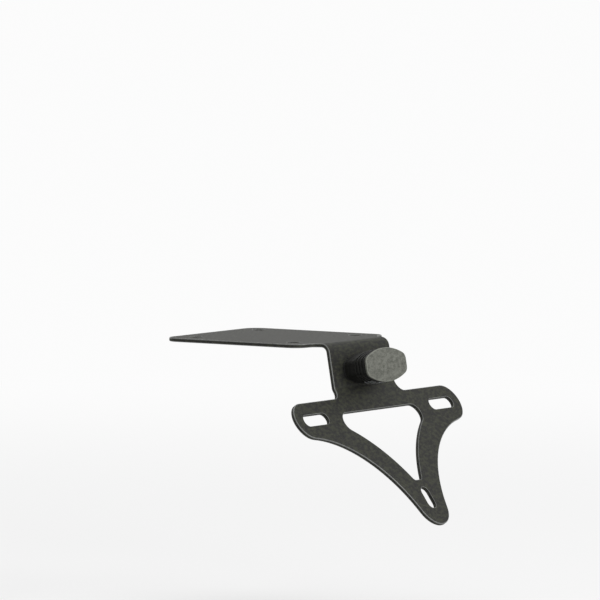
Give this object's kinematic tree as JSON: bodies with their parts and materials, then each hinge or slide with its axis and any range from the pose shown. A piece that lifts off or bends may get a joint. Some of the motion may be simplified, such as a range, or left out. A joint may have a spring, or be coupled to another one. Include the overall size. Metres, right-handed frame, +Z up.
{
  "type": "tail tidy",
  "caption": "Folded sheet-steel number plate bracket for the tail of a motorcycle, with slotted triangular hanger and a small plate lamp on its neck.",
  "frame": {"origin": "centre of the four fixing holes, on the upper face of the top plate", "axes": "+X to the right of the motorcycle, +Y forward, +Z up, square to the top plate; the number plate faces -Y"},
  "size_m": [0.1484, 0.1441, 0.0911],
  "materials": {
    "black_powder_coat": "satin black powder coat, fine texture",
    "black_plastic": "moulded black plastic",
    "grey_plastic": "textured grey moulded plastic",
    "gasket_rubber": "matt black rubber",
    "clear_lens": "clear moulded lens",
    "board_laminate": "green coated laminate",
    "chip_resin": "yellow phosphor resin in a white package",
    "insert_brass": "turned brass",
    "zinc_steel": "bright zinc plate"
  },
  "bodies": {
    "root": {"bracket": "black_powder_coat", "lamp_gasket": "gasket_rubber", "lamp_base": "black_plastic", "lamp_body": "black_plastic", "cover_seal": "gasket_rubber", "lamp_cover": "grey_plastic", "lamp_lens": "clear_lens", "lens_seal": "gasket_rubber", "circuit_board": "board_laminate", "light_chips": "chip_resin", "threaded_insert_left": "insert_brass", "threaded_insert_right": "insert_brass", "lamp_bolt_left": "zinc_steel", "lamp_bolt_right": "zinc_steel", "spring_washer_left": "zinc_steel", "spring_washer_right": "zinc_steel", "plain_washer_left": "zinc_steel", "plain_washer_right": "zinc_steel", "lead_grommet": "gasket_rubber"}
  },
  "joints": []
}
